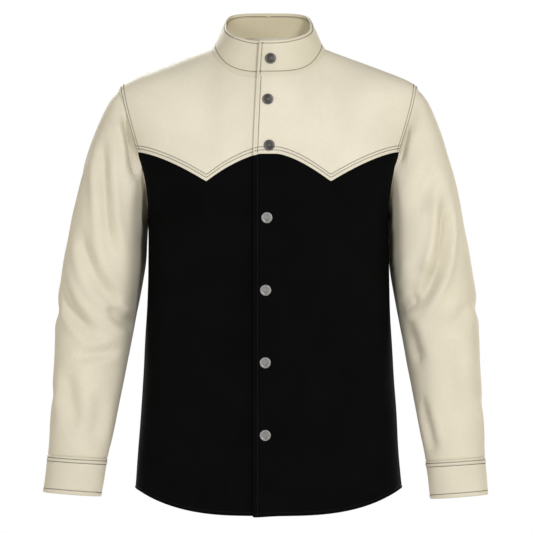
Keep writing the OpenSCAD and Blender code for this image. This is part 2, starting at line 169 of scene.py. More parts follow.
def mirror(side_sign):
    """What a point worked out on the left is multiplied by."""
    return np.array([side_sign, 1.0, 1.0])


# ---- the body's surface, as in the CAD model ----


def half_width(z):
    t = np.clip((FLARE_Z - z) / (FLARE_Z - CORNER_Z), 0, 1)
    flared = mix(CHEST_HALF_W, HEM_HALF_W, t**1.3)
    return np.where(z > ARMPIT_Z, CHEST_HALF_W + 0.3 * (z - ARMPIT_Z), flared)


def depth(side, z):
    front = mix(FRONT_DEPTH, FRONT_HEM_DEPTH, np.clip((-200 - z) / 500, 0, 1))
    return BACK_DEPTH if side > 0 else front


def ridge_z(x):
    a = np.abs(x)
    neck = 15 - 16 * (np.minimum(a, NECK_HALF_W) / NECK_HALF_W) ** 2.2
    out = np.clip((a - NECK_HALF_W) / (TIP_X - NECK_HALF_W), 0, 1)
    slope = -1 - 0.41 * (a - NECK_HALF_W) + SHOULDER_RISE * out**1.6 * (1 - out**8)
    return np.where(a < NECK_HALF_W, neck, slope)


def plan(s):
    return np.maximum(0, 1 - np.minimum(1, np.abs(s)) ** 2.5) ** 0.4


def over(side, x, r):
    """How far out the surface is below the shoulder: the front is softer beside the neck."""
    a = np.abs(x)
    soft = np.where(a < SOFT_X, ease(a / SOFT_X), 1 - ease((a - SOFT_X) / SOFT_FADE))
    e = np.where(side > 0, 3, 3 - 1.1 * soft)
    return np.maximum(0, 1 - np.clip(r, 0, 1) ** e) ** (1 / e)


def yoke_edge_z(side, x):
    """Height of a yoke's lower edge."""
    a = np.abs(x)
    if side > 0:
        return mix(BACK_POINT_Z, YOKE_ARM_Z, 1 - (1 - np.minimum(1, a / ARM_X)) ** 1.5)
    inner = np.clip((a - YOKE_FLAT_X) / (YOKE_POINT_X - YOKE_FLAT_X), 0, 1)
    outer = np.clip((a - YOKE_POINT_X) / (ARM_X - YOKE_POINT_X), 0, 1)
    to_point = mix(YOKE_MID_Z, YOKE_POINT_Z, inner**1.5)
    to_arm = mix(YOKE_POINT_Z, YOKE_ARM_Z, 1 - (1 - outer) ** 1.45)
    return np.where(a < YOKE_POINT_X, to_point, to_arm)


def hem_z(x):
    return CORNER_Z - HEM_DROP * (1 - np.minimum(1, np.abs(x) / HEM_HALF_W) ** 3.2)


def yoke_arm_x(climb):
    return mix(ARM_X, TIP_X, 1 - (1 - climb) ** 2.5)


def body_arm_x(z):
    t = np.clip((z - ARMPIT_Z) / (YOKE_ARM_Z - ARMPIT_Z), 0, 1.15)
    return np.where(z < ARMPIT_Z, half_width(z), mix(CHEST_HALF_W, ARM_X, t**2.2))


def torso_at(side, x, z):
    """A point of the torso by x and height."""
    r = (z - SHOULDER_LOW_Z) / (ridge_z(x) - SHOULDER_LOW_Z)
    y = side * depth(side, z) * plan(x / half_width(z)) * over(side, x, r)
    return np.stack(np.broadcast_arrays(x, y, z), -1)


def climb_angle(side, x, climb):
    low = np.arcsin((yoke_edge_z(side, x) - SHOULDER_LOW_Z) / (ridge_z(x) - SHOULDER_LOW_Z))
    return mix(low, np.pi / 2, climb)


def yoke_at(side, x, climb):
    """A point of a yoke: climb is 0 at its lower edge and 1 at the shoulder seam."""
    a = climb_angle(side, x, climb)
    z = SHOULDER_LOW_Z + (ridge_z(x) - SHOULDER_LOW_Z) * np.sin(a)
    y = side * depth(side, z) * plan(x / half_width(z)) * over(side, x, np.sin(a))
    return np.stack(np.broadcast_arrays(x, y, z), -1)


def neck_climb(turn, grow):
    """x and climb of the neck's outline, turn degrees round from the front."""
    x = (NECK_HALF_W + grow) * np.sin(np.radians(turn))
    y = NECK_Y - (NECK_HALF_D + grow) * np.cos(np.radians(turn))
    side = np.where(y < 0, -1, 1)
    deep = np.where(side > 0, BACK_DEPTH, depth(-1, 0.0))
    share = np.minimum(1, np.abs(y) / (deep * plan(x / half_width(-10.0))))
    low = np.where(side > 0, climb_angle(1, x, 0), climb_angle(-1, x, 0))
    return x, (np.arcsin(over(side, x, share)) - low) / (np.pi / 2 - low)


def neck_side_turn(grow):
    return 90 + np.degrees(np.arcsin(-NECK_Y / (NECK_HALF_D + grow)))


def neck_seam_z(turn):
    x, climb = neck_climb(turn, 1.5)
    front, back = yoke_at(-1, x, climb)[..., 2], yoke_at(1, x, climb)[..., 2]
    y = NECK_Y - NECK_HALF_D * np.cos(np.radians(turn))
    return np.where(y < 0, front, back)


def fold_x(z):
    """x of the line about which a front folds open."""
    return mix(FOLD_TOP[0], FOLD_LOW[0], (z - FOLD_TOP[1]) / (FOLD_LOW[1] - FOLD_TOP[1]))


def front_weight(p):
    """How much a point of the left front, or of a mirrored right one, follows the fold."""
    w = ease((fold_x(p[..., 2]) + FOLD_SPREAD / 2 - p[..., 0]) / FOLD_SPREAD)
    return np.where(p[..., 1] < NECK_Y, w, 0)


def signed_pow(v, e):
    return np.sign(v) * np.abs(v) ** e


def collar_at(turn, up):
    """A point of the collar's outer face."""
    lean = up * (0.75 + 0.25 * up)
    w, d = mix(NECK_HALF_W, RIM_HALF_W, lean), mix(NECK_HALF_D, RIM_HALF_D, lean)
    c, s = np.cos(np.radians(turn)), np.sin(np.radians(turn))
    e = np.where(c > 0, 1, 2 / mix(2, RIM_SQUARE, up))
    back = -signed_pow(c, e)
    rim_z = mix(RIM_FRONT_Z, RIM_BACK_Z, (1 + back) / 2)
    z = mix(neck_seam_z(turn) + 0.4, rim_z, up)
    return np.stack(np.broadcast_arrays(w * signed_pow(s, e), NECK_Y + d * back, z), -1)


# ---- the sleeve's surface ----


def ring_at(s):
    """The sleeve's ring at a place between the rings listed."""
    last = len(SLEEVE_RINGS) - 1
    i = np.clip(np.floor(s).astype(int), 0, last - 1)
    near = [SLEEVE_RINGS[np.clip(i + k, 0, last)] for k in (-1, 0, 1, 2)]
    return spline(*near, (s - i)[..., None])


def round_ring(s, around):
    """A point of a sleeve: around is 0 on the outside, 90 at the front, 180 inside."""
    r = ring_at(s)
    c, f = np.cos(np.radians(around)), np.sin(np.radians(around))
    x = (r[..., 0] + r[..., 2]) / 2 + (r[..., 0] - r[..., 2]) / 2 * c
    z = (r[..., 1] + r[..., 3]) / 2 + (r[..., 1] - r[..., 3]) / 2 * c
    return np.stack([x, r[..., 5] - r[..., 4] * f, z], -1)


def armhole_at(around):
    """The armhole's edge at the same angle round the sleeve."""
    front = around < 180
    down = np.where(front, around, 360 - around) / 180
    yoke_share = 0.55
    climb = np.clip(1 - down / yoke_share, 0, 1)
    z = mix(YOKE_ARM_Z, ARMPIT_Z, np.clip((down - yoke_share) / (1 - yoke_share), 0, 1))
    made = []
    for side in (-1, 1):
        on_yoke = yoke_at(side, yoke_arm_x(climb), climb)
        on_body = torso_at(side, body_arm_x(z), z)
        made.append(np.where((down < yoke_share)[..., None], on_yoke, on_body))
    return np.where(front[..., None], made[0], made[1])


def sleeve_at(s, around, side_sign):
    """A point of a sleeve, which starts just under the armhole's edge."""
    centre = round_ring(0 * s, 0 * around) * 0.5 + round_ring(0 * s, 0 * around + 180) * 0.5
    start = armhole_at(around) - ARMHOLE_TUCK * ARM_OUT
    start = start + ARMHOLE_UNDER * unit(centre - start)
    fade = (1 - ease(s / CAP_END))[..., None]
    out = np.interp(s, HANG_RINGS, HANG_OUT[side_sign])
    up = HANG_UP[side_sign] * ease((s - 5) / 3)
    hung = round_ring(s, around) + np.stack([out, 0 * out, up], -1)
    return hung + (start - round_ring(0 * s, around)) * fade


# ---- grids of points ----

# Rows of points beside a row of stitches, and along every edge.
FINE = (-1.7, -0.9, -0.4, 0.0, 0.4, 0.9, 1.7)
EDGE_ROWS = [0.0, 1.0, 2.6, 4.5]
ROW_GAP = 0.3
# Stands for the distance from an edge of everything beyond its rows.
FAR = 99.0
Side = namedtuple("Side", "stitches rounded", defaults=((), True))


def rows_near(stitches):
    """Distances from an edge at which a panel has rows of points."""
    marks = EDGE_ROWS + [m + o for m in stitches for o in FINE]
    marks += [max(stitches, default=2.6) + 4.0]
    kept = []
    for m in sorted(set(round(m, 2) for m in marks if m >= 0)):
        if m in stitches and kept and m - kept[-1] < ROW_GAP:
            kept.pop()
        if not kept or m - kept[-1] >= ROW_GAP:
            kept.append(m)
    return np.array(kept)


def spread(grid, start, end, step, keep=()):
    """Moves a dense grid's first-direction lines to fixed distances from its two ends.

    Returns the new grid and each line's distance from the start and from the end.
    """
    share = np.linspace(0, 1, len(grid))
    lengths = np.linalg.norm(np.diff(grid, axis=0), axis=-1)
    run = np.concatenate([np.zeros((1, grid.shape[1])), np.cumsum(lengths, axis=0)])
    head = np.stack([np.interp(start, run[:, k], share) for k in range(grid.shape[1])], -1)
    tail = np.stack([np.interp(run[-1, k] - end[::-1], run[:, k], share)
                     for k in range(grid.shape[1])], -1)
    low, high = head[-1].max(), tail[0].min()
    count = max(2, int(round(run[-1].mean() * (high - low) / step)))
    middle = np.linspace(low, high, count + 2)[1:-1]
    for k in keep:
        middle[np.argmin(np.abs(middle - k))] = k
    at = np.concatenate([head, np.repeat(middle[:, None], grid.shape[1], 1), tail])
    place = at * (len(grid) - 1)
    i = np.minimum(place.astype(int), len(grid) - 2)
    t = (place - i)[..., None]
    column = np.arange(grid.shape[1])[None, :]
    made = grid[i, column] * (1 - t) + grid[i + 1, column] * t
    from_start = np.concatenate([start, np.full(count + len(end), FAR)])
    from_end = np.concatenate([np.full(len(start) + count, FAR), end[::-1]])
    return made, from_start, from_end


def grid_normals(grid, wrap, centre):
    """Outward unit normals of a grid, and whether its faces need turning round."""
    if wrap:
        along = np.roll(grid, -1, 0) - np.roll(grid, 1, 0)
    else:
        along = np.gradient(grid, axis=0)
    n = unit(np.cross(along, np.gradient(grid, axis=1)))
    flip = np.sum(n * (grid - centre)) < 0
    return (-n if flip else n), flip


def seam_relief(distance, rows):
    """The groove that a row of stitches pulls, with the leather proud on both sides."""
    height = np.zeros_like(distance)
    for m in rows:
        x = distance - m
        height += -0.5 * bump(x / 0.8) + 0.3 * bump((np.abs(x) - 2.3) / 1.2)
    return height


def boundary(nu, nv, wrap):
    """The loops of grid indices round a grid's open edges."""
    if wrap:
        ring = np.arange(nu)
        return [np.stack([ring, 0 * ring], -1), np.stack([ring[::-1], 0 * ring + nv - 1], -1)]
    i, j = np.arange(nu), np.arange(nv)
    sides = [(i[:-1], 0 * i[:-1]), (0 * j[:-1] + nu - 1, j[:-1]),
             (i[:0:-1], 0 * i[:0:-1] + nv - 1), (0 * j[:0:-1], j[:0:-1])]
    return [np.concatenate([np.stack(s, -1) for s in sides])]


def quads(ids, wrap):
    nxt = np.roll(ids, -1, 0) if wrap else ids[1:]
    cur = ids if wrap else ids[:-1]
    return np.stack([cur[:, :-1], nxt[:, :-1], nxt[:, 1:], cur[:, 1:]], -1).reshape(-1, 4)


RIM_TURNS = np.radians([40, 90, 140])


def thick_sheet(grid, normals, thick, wrap, flip, rounded):
    """Points, faces, point normals and inner-face marks of a sheet with rounded edges.

    rounded says for the sides u start, u end, v start, v end whether the edge is rounded.
    """
    nu, nv = grid.shape[:2]
    ids = np.arange(nu * nv).reshape(nu, nv)
    inner = grid - thick[..., None] * normals
    points, shading = [grid.reshape(-1, 3), inner.reshape(-1, 3)], [normals.reshape(-1, 3)]
    shading.append(-shading[0])
    faces = [quads(ids, wrap), quads(ids + nu * nv, wrap)[:, ::-1]]
    count = 2 * nu * nv
    outward = np.zeros_like(grid)
    if not wrap:
        outward[0] += unit(grid[0] - grid[1]) * rounded[0]
        outward[-1] += unit(grid[-1] - grid[-2]) * rounded[1]
    outward[:, 0] += unit(grid[:, 0] - grid[:, 1]) * rounded[2]
    outward[:, -1] += unit(grid[:, -1] - grid[:, -2]) * rounded[3]
    for loop in boundary(nu, nv, wrap):
        a, b = loop[:, 0], loop[:, 1]
        n, r = normals[a, b], thick[a, b][:, None] / 2
        e = outward[a, b] - np.sum(outward[a, b] * n, -1, keepdims=True) * n
        sharp = np.linalg.norm(e, axis=-1, keepdims=True) > 0.3
        e = unit(e) * sharp
        previous = ids[a, b]
        for turn in RIM_TURNS:
            points.append(grid[a, b] + e * r * np.sin(turn) - n * r * (1 - np.cos(turn)))
            shading.append(unit(e * np.sin(turn) + n * np.cos(turn) * sharp + n * ~sharp))
            ring = count + np.arange(len(loop))
            count += len(loop)
            faces.append(np.stack([np.roll(previous, -1), previous, ring, np.roll(ring, -1)], -1))
            previous = ring
        ring = ids[a, b] + nu * nv
        faces.append(np.stack([np.roll(previous, -1), previous, ring, np.roll(ring, -1)], -1))
    inside = np.concatenate([np.full(len(f), k == 1) for k, f in enumerate(faces)])
    faces = np.concatenate(faces)
    return (np.concatenate(points), faces[:, ::-1] if flip else faces,
            np.concatenate(shading), inside)


# ---- making objects ----


def mesh_object(name, points, faces, materials, shading=None, inside=None):
    """A smooth mesh object from points in millimetres. Its rest place is kept for its grain."""
    mesh = bpy.data.meshes.new(name)
    mesh.from_pydata((points * MM).tolist(), [], faces)
    for material in materials:
        mesh.materials.append(material)
    mesh.polygons.foreach_set("use_smooth", np.ones(len(mesh.polygons), bool))
    if inside is not None:
        mesh.polygons.foreach_set("material_index", inside.astype(np.int32))
    rest = mesh.attributes.new("rest_place", "FLOAT_VECTOR", "POINT")
    rest.data.foreach_set("vector", (points * MM).astype(np.float32).ravel())
    if shading is not None:
        mesh.normals_split_custom_set_from_vertices(shading.tolist())
    mesh.update()
    obj = bpy.data.objects.new(name, mesh)
    bpy.context.scene.collection.objects.link(obj)
    return obj


def attach(obj, bodies, weights=None):
    """Rides on one body, or blends between two by the weights given for its points."""
    if isinstance(bodies, str):
        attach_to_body(obj, bodies)
        return
    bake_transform(obj, *bodies, start=(0, 0, 0), end=(0, 0, -0.7))
    attribute = obj.data.attributes["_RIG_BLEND"]
    attribute.data.foreach_set("value", np.asarray(weights, np.float32).ravel())


# A stitch is drawn as rings: share of its length, share of its radius, rise off the leather.
STITCH_PITCH = 3.3
STITCH_LENGTH = 2.6
STITCH_SHAPE = ((0.0, 0.35, -0.5), (0.2, 1.0, 0.0), (0.8, 1.0, 0.0), (1.0, 0.35, -0.5))
STITCH_SIDES = 5
STITCH_RADIUS = 0.45
STITCH_MARGIN = 1.5


def stitch_run(path, normals, weights):
    """Points, faces and weights of one row of stitches along a path of points."""
    run = np.concatenate([[0], np.cumsum(np.linalg.norm(np.diff(path, axis=0), axis=1))])
    count = int((run[-1] - 2 * STITCH_MARGIN) / STITCH_PITCH)
    starts = STITCH_MARGIN + STITCH_PITCH * np.arange(count)

    def along(values, at):
        return np.stack([np.interp(at, run, values[:, k]) for k in range(values.shape[1])], -1)

    rings = []
    tangent = unit(along(path, starts + STITCH_LENGTH) - along(path, starts))
    angles = (2 * np.pi * np.arange(STITCH_SIDES) / STITCH_SIDES)[None, :, None]
    for share, width, rise in STITCH_SHAPE:
        at = starts + share * STITCH_LENGTH
        n = unit(along(normals, at))
        side = unit(np.cross(tangent, n))
        centre = along(path, at) + n * STITCH_RADIUS * (0.75 + rise)
        around = np.cos(angles) * n[:, None] + np.sin(angles) * side[:, None]
        rings.append(centre[:, None] + STITCH_RADIUS * width * around)
    points = np.stack(rings, 1)
    shape = points.shape[:3]
    ids = np.arange(np.prod(shape)).reshape(shape)
    turned = np.roll(ids, -1, 2)
    walls = np.stack([ids[:, :-1], turned[:, :-1], turned[:, 1:], ids[:, 1:]], -1).reshape(-1, 4)
    caps = np.concatenate([ids[:, 0, ::-1], ids[:, -1]])
    middles = np.interp(starts + STITCH_LENGTH / 2, run, weights)
    made = np.repeat(middles, shape[1] * shape[2])
    return points.reshape(-1, 3), walls.tolist() + caps.tolist(), made


def stitch_object(name, rows, material, bodies):
    """All the stitch rows of one panel, as one object. A row is a path, normals, weights."""
    points, faces, weights, count = [], [], [], 0
    for path, normals, row_weights in rows:
        p, f, w = stitch_run(path, normals, row_weights)
        points.append(p)
        faces += [[k + count for k in face] for face in f]
        weights.append(w)
        count += len(p)
    obj = mesh_object(name, np.concatenate(points), faces, [material])
    attach(obj, bodies, np.concatenate(weights))
    return obj


Shape = namedtuple("Shape", "grid normals flip sides rows wrap")


def on_axis(grid):
    """The points of the vertical axis level with a grid's points."""
    return grid * np.array([0, 0, 1.0])


def shape_panel(dense, sides, *, relief, step=5.0, keep=(), centre=on_axis, wrap=False,
                meets_mirror=False):
    """Turns a dense grid of surface points into a panel's final grid.

    sides are Side values for u start, u end, v start and v end. relief is a function of the
    grid and its distances from the four sides that gives a height. A panel that
    meets_mirror joins its own mirror image at its u end.
    """
    grid = dense
    du = [np.full(len(grid), FAR)] * 2
    if not wrap:
        grid, *du = spread(grid, rows_near(sides[0].stitches), rows_near(sides[1].stitches),
                           step, keep)
    turned, *dv = spread(grid.transpose(1, 0, 2), rows_near(sides[2].stitches),
                         rows_near(sides[3].stitches), step)
    grid = turned.transpose(1, 0, 2)
    shape = grid.shape[:2]
    far = [np.broadcast_to(d[:, None], shape) for d in du]
    far += [np.broadcast_to(d, shape) for d in dv]
    normals, flip = grid_normals(grid, wrap, centre(grid))
    height = sum(seam_relief(d, s.stitches) for d, s in zip(far, sides)) + relief(grid, far)
    grid = grid + normals * height[..., None]
    normals, flip = grid_normals(grid, wrap, centre(grid))
    if meets_mirror:
        normals[-1] = unit(normals[-1] * np.array([0, 1.0, 1.0]))
    return Shape(grid, normals, flip, sides, [*du, *dv], wrap)


def stitch_lines(shape, weights, thick, inside_rows):
    """Paths of a panel's stitch rows: those of its sides, and those on its inner face."""
    wanted = [(k, m, False) for k, side in enumerate(shape.sides) for m in side.stitches]
    wanted += [(k, m, True) for k, m in inside_rows]
    lines = []
    for k, m, inner in wanted:
        line = int(np.argmin(np.abs(shape.rows[k] - m)))
        pick = (line, slice(None)) if k < 2 else (slice(None), line)
        path, n = shape.grid[pick], shape.normals[pick]
        w = np.zeros(len(path)) if weights is None else weights[pick]
        if inner:
            path, n = path - n * thick[pick][:, None], -n
        if shape.wrap:
            path, n, w = (np.concatenate([a, a[:1]]) for a in (path, n, w))
        lines.append((path, n, w))
    return lines


def build_panel(name, shape, bodies, looks, finish, replaced, *, thick=LEATHER, weights=None,
                side_sign=1, inside_rows=()):
    """side_sign is -1 for a panel that is worked out on the left and belongs on the right.
    """
    grid, normals = shape.grid, shape.normals
    slot, thread = "cream_leather", looks["thread"]
    if finish == "black":
        slot, thread = "black_leather", looks["black_thread"]
    thick = np.broadcast_to(np.asarray(thick, float), grid.shape[:2])
    sign = mirror(side_sign)
    points, faces, shading, inside = thick_sheet(
        grid, normals, thick, shape.wrap, shape.flip, [float(s.rounded) for s in shape.sides])
    if side_sign < 0:
        faces = faces[:, ::-1]
    obj = mesh_object(name, points * sign, faces.tolist(), looks[finish], shading * sign, inside)
    attach(obj, bodies, None if weights is None else spread_weights(shape, weights))
    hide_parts(*replaced)
    lines = stitch_lines(shape, weights, thick, inside_rows)
    parts = []
    if lines:
        lines = [(path * sign, n * sign, w) for path, n, w in lines]
        parts = [stitch_object(name + "_stitches", lines, thread, bodies)]


def spread_weights(shape, weights):
    """Weights of a thick sheet's points from those of its grid: rims follow their edge."""
    parts = [weights.ravel(), weights.ravel()]
    for loop in boundary(*shape.grid.shape[:2], shape.wrap):
        parts += [weights[loop[:, 0], loop[:, 1]]] * len(RIM_TURNS)
    return np.concatenate(parts)


def share_grid(nu, nv):
    return np.meshgrid(np.linspace(0, 1, nu), np.linspace(0, 1, nv), indexing="ij")


# ---- folds and slack ----


def ripple(p, size, seed):
    """Gentle unevenness of about the given wavelength, from -1 to 1 or so."""
    rng = np.random.default_rng(seed)
    total = 0
    for _ in range(9):
        direction = unit(rng.normal(size=3))
        length = size * rng.uniform(0.7, 1.5)
        total = total + np.sin(p @ direction * 2 * np.pi / length + rng.uniform(0, 6.28))
    return total / 3


# Waves round the hem: depth, how many go round, turn, and the height for one more radian.
HEM_WAVES = ((2.3, 6, 0.5, 260), (1.4, 11, -1.1, -190))
WAIST_Z = -470
WAIST_WAVE = 1.1


def drape(p):
    """How far the torso's leather stands off its smooth surface, least beside the snaps."""
    x, y, z = p[..., 0], p[..., 1], p[..., 2]
    around = np.arctan2(x, -y)
    low = ease((-230 - z) / 330)
    still = ease((np.abs(x) - 34) / 60)
    wave = sum(deep * np.sin(n * around + turn + z / rise) for deep, n, turn, rise in HEM_WAVES)
    waist = WAIST_WAVE * np.sin(z / 17 + 2.2 * np.sin(3 * around)) * bump((z - WAIST_Z) / 120)
    behind = ease((y + 60) / 120)
    calm = 1 - 0.75 * bump((np.abs(x) - 190) / 26)
    folds = (low * wave + waist) * mix(0.3 * still, 1, behind) * calm
    return folds + 0.5 * ripple(p, 95, 3) * mix(still, 1, behind)


def curve_through(points, spacing=4.0):
    """A smooth line through a few points, sampled evenly."""
    p = np.array(points, float)
    ends = np.concatenate([[2 * p[0] - p[1]], p, [2 * p[-1] - p[-2]]])
    made = []
    for k in range(len(p) - 1):
        count = max(2, int(np.linalg.norm(p[k + 1] - p[k]) / spacing))
        t = np.linspace(0, 1, count, endpoint=False)[:, None]
        made.append(spline(*ends[k:k + 4], t))
    return np.concatenate([*made, p[-1:]])


# A fold lies on the front, the back or the outside of a sleeve. Its points are x and z
# there, or y and z on the outside. half_w is its half width and deep its depth.
Fold = namedtuple("Fold", "face points half_w deep")
FACES = {"front": (1, -1, (0, 2)), "back": (1, 1, (0, 2)), "outside": (0, 1, (1, 2))}
FADED = 0.35
FACING_LEAST = 0.12
FOLD_GAIN = 1.5


def fold_depth(grid, normals, fold):
    """A valley with soft ridges beside it, faded out towards its ends."""
    axis, sign, seen = FACES[fold.face]
    flat, facing = grid.reshape(-1, 3), normals.reshape(-1, 3)[:, axis] * sign
    near = np.where(facing > FACING_LEAST)[0]
    line = curve_through(fold.points)
    gaps = np.linalg.norm(flat[near][None, :, list(seen)] - line[:, None], axis=-1)
    path = flat[near[np.argmin(gaps, axis=1)]]
    path[:, list(seen)] = line
    gaps = np.linalg.norm(flat[:, None] - path[None], axis=-1)
    nearest = np.argmin(gaps, axis=1)
    d = gaps[np.arange(len(flat)), nearest] / fold.half_w
    t = nearest / (len(path) - 1)
    fade = ease(t / FADED) * ease((1 - t) / FADED)
    valley = -bump(d) + 0.35 * bump((d - 1.8) / 0.85)
    return (FOLD_GAIN * fold.deep * fade * valley).reshape(grid.shape[:2])


front, back, outside = (partial(Fold, face) for face in FACES)
RIGHT_FOLDS = (
    front([(256, -122), (257, -160), (256, -197), (253, -235), (249, -272), (240, -312),
           (226, -348)], 10, 6.5),
    front([(226, -92), (216, -124), (210, -156), (206, -186), (201, -214)], 9, 7.5),
    front([(293, -273), (284, -314), (268, -354), (244, -382), (216, -398)], 11, 6.0),
    front([(322, -346), (308, -396), (286, -427), (256, -452)], 10, 6.5),
    front([(304, -478), (262, -473), (222, -466)], 9, 3.5),
    front([(252, -398), (226, -420), (202, -430)], 10, 6.0),
    front([(316, -486), (306, -540), (294, -600)], 14, 4.0),
    front([(262, -520), (262, -570), (270, -620)], 14, 3.0),
    back([(276, -150), (262, -220), (240, -300)], 13, 6.0),
    back([(224, -376), (262, -404), (304, -408)], 10, 6.0),
    back([(228, -430), (268, -446), (312, -440)], 10, 5.5),
    back([(242, -484), (280, -500), (322, -480)], 11, 4.2),
    back([(262, -546), (284, -600), (290, -642)], 11, 3.4),
    outside([(-30, -140), (-6, -230), (-14, -330)], 14, 4.0),
    outside([(-56, -386), (-20, -410), (20, -402)], 12, 3.4),
    outside([(-66, -510), (-42, -560), (-50, -626)], 12, 3.2),
)
LEFT_FOLDS = (
    front([(266, -206), (273, -262), (268, -312), (257, -350), (240, -386), (220, -420)],
          10, 9.0),
    front([(214, -412), (222, -452), (236, -500)], 12, 4.5),
    front([(252, -326), (228, -374), (208, -412)], 18, 6.5),
    front([(213, -112), (205, -148), (198, -186)], 10, 6.0),
    front([(262, -172), (244, -218), (224, -270)], 16, 4.0),
    front([(230, -382), (212, -402), (196, -408)], 9, 4.0),
    front([(232, -530), (246, -592), (258, -636)], 10, 4.0),
    front([(286, -420), (280, -500), (288, -580)], 16, 2.6),
    front([(314, -392), (296, -420), (270, -436)], 12, 3.0),
    back([(270, -140), (266, -215), (246, -290)], 13, 5.6),
    back([(220, -368), (258, -398), (304, -396)], 10, 6.0),
    back([(226, -422), (270, -440), (316, -430)], 10, 5.5),
    back([(244, -492), (284, -504), (324, -488)], 11, 4.0),
    back([(260, -546), (278, -596), (292, -644)], 11, 3.4),
    outside([(-20, -130), (-2, -220), (-20, -310)], 14, 4.0),
    outside([(-60, -376), (-26, -404), (16, -398)], 12, 3.4),
    outside([(-60, -520), (-46, -580), (-58, -636)], 12, 3.0),
)

# Beside the body a sleeve falls back into a deep hollow. Its depth is listed by ring, with
# the angles round the sleeve at which it begins, for the right sleeve and for the left.
HOLLOW_RINGS = (0.0, 0.8, 4.2, 5.6, 7.4)
HOLLOW_DEPTHS = (0.0, 95.0, 84.0, 34.0, 0.0)
HOLLOW_STARTS = {-1: (96.0, 98.0, 116.0, 130.0, 140.0), 1: (104.0, 110.0, 122.0, 132.0, 140.0)}
HOLLOW_TURN = 62.0
HOLLOW_BITE = 1.6
LEAST_ROOM = 0.1


def hollow(s, around, side_sign, room):
    """How far back the inner front of a sleeve lies, of the room there is before its back."""
    deep = np.interp(s, HOLLOW_RINGS, HOLLOW_DEPTHS)
    start = np.interp(s, HOLLOW_RINGS, HOLLOW_STARTS[side_sign])
    turned = np.clip((around - start) / HOLLOW_TURN, 0, 1)
    back = np.where(around < 270, np.clip(-np.sin(np.radians(around)), 0, 1), 1)
    wanted = deep * ease(turned**HOLLOW_BITE) * (1 - back)
    room = np.maximum(room, LEAST_ROOM)
    return room * (1 - np.exp(-wanted / room))


# ---- the torso's panels ----

TUCK = 12.0
PRESSED = 9.0
ARM_STITCHES = (2.2, 7.4)
YOKE_STITCHES = (5.1, 9.9)
HEM_STITCH = 4.5
HEM_TURN = 9
FREE_STITCH = 6.2
FREE_TURN = 6
NECK_TUCK = -2.0
NECK_GROOVE = 1.4
EDGE_DOUBLE = 1.5
EDGE_CURL = 1.5
HEM_RIDGE = 0.6
YOKE_RIDGE = 0.35
# The left front hangs lower at its free corner, and its yoke's free edge leans in.
LEFT_CORNER_DROP = 2.2
LEFT_EDGE_LEAN = 6.0


def side_body(side_sign):
    return ("torso", "left_front" if side_sign > 0 else "right_front")


def side_name(side_sign):
    return "left" if side_sign > 0 else "right"


def free_edge(side_sign):
    """x of a front's free edge, worked out on the left."""
    return -OVERLAP if side_sign > 0 else -UNDERLAP


def under_left(grid, side_sign):
    """How far the right front is set in, to run on under the left one."""
    if side_sign > 0:
        return np.zeros(grid.shape[:2])
    in_front = ease((NECK_Y - grid[..., 1]) / 30)
    return -SNAP_STACK * ease((75 - grid[..., 0]) / 50) * in_front


def rolled_edge(distance):
    """A free edge curls in a little."""
    return -EDGE_CURL * ease((9 - distance) / 9) ** 2


def neck_groove(grid, distance):
    """A yoke dips just outside the collar, which is sewn over it."""
    beside = ease((NECK_HALF_W + 2 - np.abs(grid[..., 0])) / 8)
    return -NECK_GROOVE * bump((distance - 4.5) / 2.5) * beside


def doubled_to(distance, reach):
    """Thickness near an edge that is turned back as far as reach."""
    return LEATHER + EDGE_DOUBLE * ease((reach + 1.5 - distance) / 1.5)


def hem_ridge(distance):
    return HEM_RIDGE * bump((distance - 2) / 2)


def yoke_ridge(distance):
    return YOKE_RIDGE * bump((distance - 2.4) / 2.2)


def body_dense(side, share, free_x=None, drop=0):
    """Dense points of the back, or of a front from its free edge, whose corner may drop."""
    u, v = share
    row_z = mix(CORNER_Z, YOKE_ARM_Z, v)
    for _ in range(2):
        w = half_width(row_z)
        out = np.arcsin(np.clip(body_arm_x(row_z) / w, 0, 1))
        x = w * np.sin(mix(-out if free_x is None else np.arcsin(free_x / w), out, u))
        hang = drop * bump((x + OVERLAP) / 26)
        row_z = mix(hem_z(x) - hang, yoke_edge_z(side, x) + TUCK, v)
    return torso_at(side, x, row_z)


def tucked(grid, side):
    """The body's leather is pressed in where a yoke lies over it."""
    over_edge = grid[..., 2] - yoke_edge_z(side, grid[..., 0])
    return -YOKE_STEP * ease((over_edge + PRESSED) / PRESSED)


def make_front(side_sign, looks):
    sign = mirror(side_sign)
    sides = (Side((FREE_STITCH,)), Side(ARM_STITCHES), Side((HEM_STITCH,)), Side())
    drop = LEFT_CORNER_DROP if side_sign > 0 else 0
    dense = body_dense(-1, share_grid(150, 280), free_edge(side_sign), drop)
    shape = shape_panel(dense, sides, step=5.5, relief=lambda g, d: (
        drape(g * sign) + tucked(g, -1) + under_left(g, side_sign) + rolled_edge(d[0])
        + hem_ridge(d[2])))
    thick = np.maximum(doubled_to(shape.rows[0][:, None], FREE_TURN),
                       doubled_to(shape.rows[2][None], HEM_TURN))
    name = side_name(side_sign)
    build_panel(f"{name}_front_leather", shape, side_body(side_sign), looks, "black",
                [f"{name}_front_side", f"{name}_front_edge"], thick=thick,
                weights=front_weight(shape.grid), side_sign=side_sign)


